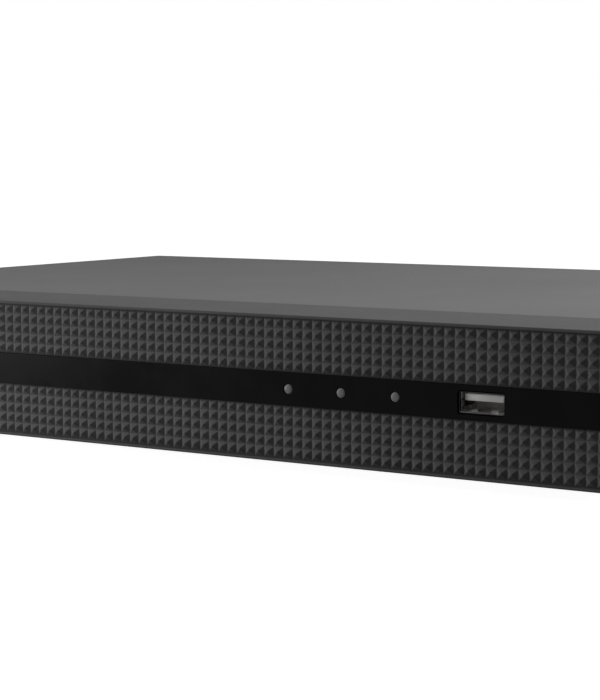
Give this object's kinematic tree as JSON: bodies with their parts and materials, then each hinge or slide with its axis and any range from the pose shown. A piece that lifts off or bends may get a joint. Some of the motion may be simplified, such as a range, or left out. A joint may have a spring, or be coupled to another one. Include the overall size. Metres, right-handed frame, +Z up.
{
  "type": "security video recorder",
  "caption": "Flat desktop recorder for security cameras: textured front with gloss band, lights and USB socket, metal cover, rear video jacks, disk and fan inside.",
  "frame": {"origin": "middle of the footprint on the plane the feet stand on", "axes": "+X along the front to its right end, +Y to the rear sockets, +Z up"},
  "size_m": [0.315, 0.2536, 0.045],
  "materials": {
    "bezel_plastic": "fine satin moulded",
    "textured_plastic": "moulded stud texture, satin",
    "gloss_band": "polished black",
    "clear_pipe": "frosted light pipe",
    "led_lens": "diffused lens",
    "circuit_board": "solder mask",
    "disk_board": "solder mask",
    "screw_steel": "zinc plated",
    "black_screw": "black oxide",
    "dark_shell": "black nickel plated",
    "plated_shell": "tin plated",
    "nickel": "nickel plated",
    "white_plastic": "moulded",
    "red_plastic": "moulded",
    "blue_plastic": "moulded",
    "green_plastic": "moulded",
    "black_plastic": "moulded",
    "rocker_plastic": "satin moulded",
    "fan_plastic": "moulded",
    "flat_cable": "flat cable film",
    "red_cable": "cable jacket",
    "tray_steel": "galvanised sheet",
    "cover_paint": "fine powder coat",
    "foot_rubber": "matte",
    "standoff_brass": "turned",
    "chip_resin": "moulding resin",
    "pad_rubber": "thermal pad",
    "sink_aluminium": "extruded",
    "can_sleeve": "shrunk sleeve",
    "ferrite": "ferrite",
    "cast_aluminium": "die cast",
    "lid_steel": "stamped",
    "platter_mirror": "polished"
  },
  "bodies": {
    "case": {"front_bezel": "bezel_plastic", "upper_panel": "textured_plastic", "lower_panel": "textured_plastic", "front_band": "gloss_band", "light_pipe": "clear_pipe", "indicator_leds": "led_lens", "front_board": "circuit_board", "main_board": "circuit_board", "hdd_board": "disk_board", "front_screws": "screw_steel", "board_screws": "screw_steel", "hdd_screws": "screw_steel", "fan_screws": "screw_steel", "cover_screws": "black_screw", "front_usb_shell": "dark_shell", "hdmi_shell": "plated_shell", "rear_usb_shell": "plated_shell", "lan_shell": "plated_shell", "vga_shell": "plated_shell", "vga_posts": "plated_shell", "bnc_shells": "nickel", "rca_shells": "nickel", "dc_pin": "nickel", "coin_cell": "nickel", "front_usb_tongue": "white_plastic", "rear_usb_tongue": "white_plastic", "bnc_cores": "white_plastic", "audio_out_insert": "white_plastic", "audio_in_insert": "red_plastic", "vga_insert": "blue_plastic", "terminal_block": "green_plastic", "bnc_housing": "black_plastic", "rca_housing": "black_plastic", "hdmi_tongue": "black_plastic", "lan_insert": "black_plastic", "dc_jack": "black_plastic", "switch_housing": "black_plastic", "cell_holder": "black_plastic", "drive_headers": "black_plastic", "fan_frame": "black_plastic", "front_cable": "flat_cable", "drive_cables": "red_cable", "switch_leads": "red_cable", "base_tray": "tray_steel", "top_cover": "cover_paint", "feet": "foot_rubber", "standoffs": "standoff_brass", "ground_screw": "standoff_brass", "processor": "chip_resin", "chips": "chip_resin", "thermal_pad": "pad_rubber", "heat_sink": "sink_aluminium", "capacitors": "can_sleeve", "inductors": "ferrite", "hdd_casting": "cast_aluminium", "hdd_lid": "lid_steel"},
    "fan": {"fan_rotor": "fan_plastic"},
    "switch": {"rocker": "rocker_plastic"},
    "disk_stack": {"platters": "platter_mirror"},
    "disk_arm": {"head_arm": "cast_aluminium"}
  },
  "joints": [
    {"name": "fan_spin", "type": "hinge", "parent": "case", "child": "fan", "pos_m": [0.149, -0.03475, 0.0233], "axis": [1, 0, 0], "continuous": true},
    {"name": "power_rocker", "type": "hinge", "parent": "case", "child": "switch", "pos_m": [-0.13023, 0.11425, 0.0245], "axis": [1, 0, 0], "range_deg": [-18, 0]},
    {"name": "disk_spin", "type": "hinge", "parent": "case", "child": "disk_stack", "pos_m": [-0.0994, -0.04215, 0.019], "axis": [0, 0, 1], "continuous": true},
    {"name": "disk_arm_swing", "type": "hinge", "parent": "case", "child": "disk_arm", "pos_m": [-0.04525, -0.064, 0.019], "axis": [0, 0, 1], "range_deg": [0, 35]}
  ]
}
